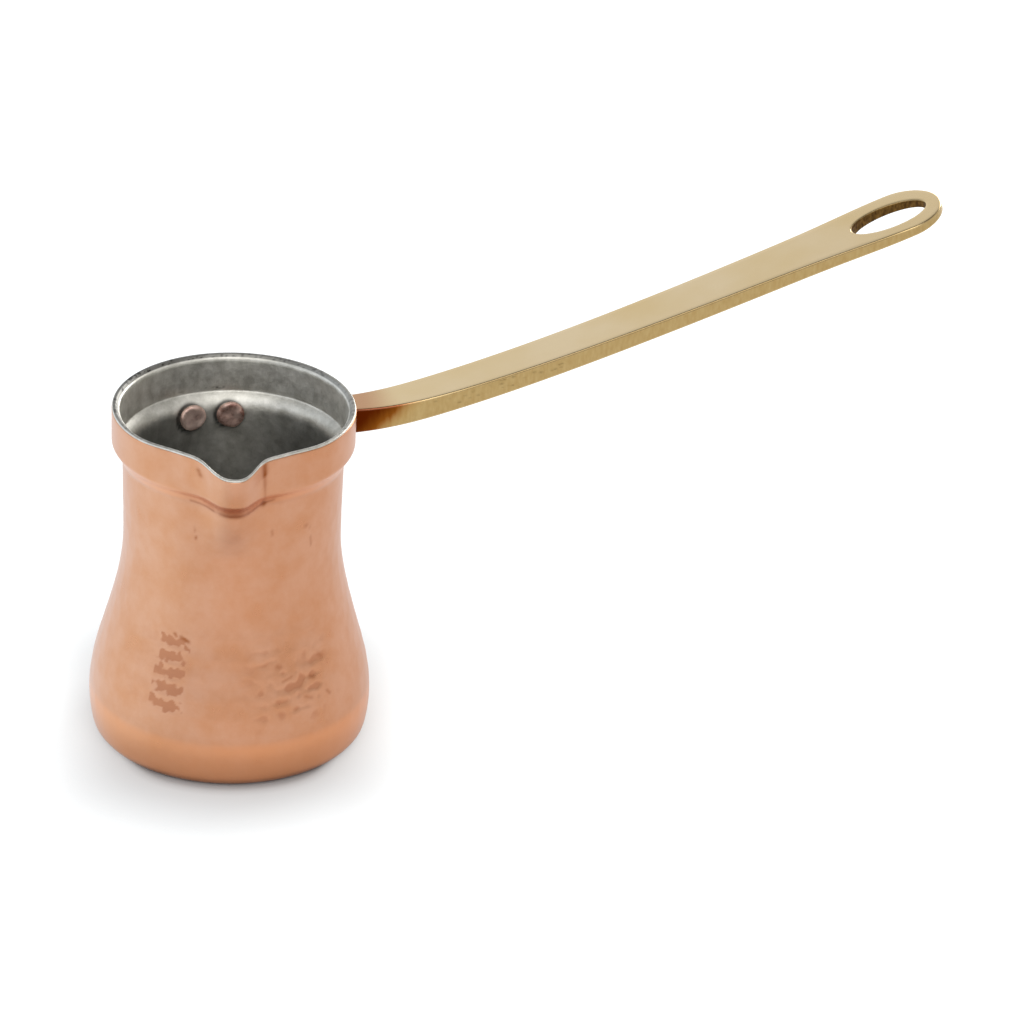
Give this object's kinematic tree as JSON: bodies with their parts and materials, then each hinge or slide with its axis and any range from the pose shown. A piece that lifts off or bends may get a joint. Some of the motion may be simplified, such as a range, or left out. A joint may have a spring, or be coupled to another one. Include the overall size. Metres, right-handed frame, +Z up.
{
  "type": "turkish coffee pot",
  "caption": "Small waisted copper coffee pot, tinned inside, with a collared rim, a drawn spout and a long riveted brass handle that ends in a hanging eye.",
  "frame": {"origin": "centre of the pot's round underside, on the axis of its body", "axes": "+Z up through the mouth, -Y towards the spout, +X towards the side the handle points to"},
  "size_m": [0.2254, 0.1066, 0.1265],
  "materials": {
    "copper": "satin hammered copper",
    "tin": "wiped tin, dull grey",
    "brass": "polished cast brass",
    "rivet_copper": "darkened copper"
  },
  "bodies": {
    "root": {"pot_body": "copper", "tin_lining": "tin", "handle": "brass", "rivet_left": "rivet_copper", "rivet_right": "rivet_copper"}
  },
  "joints": []
}
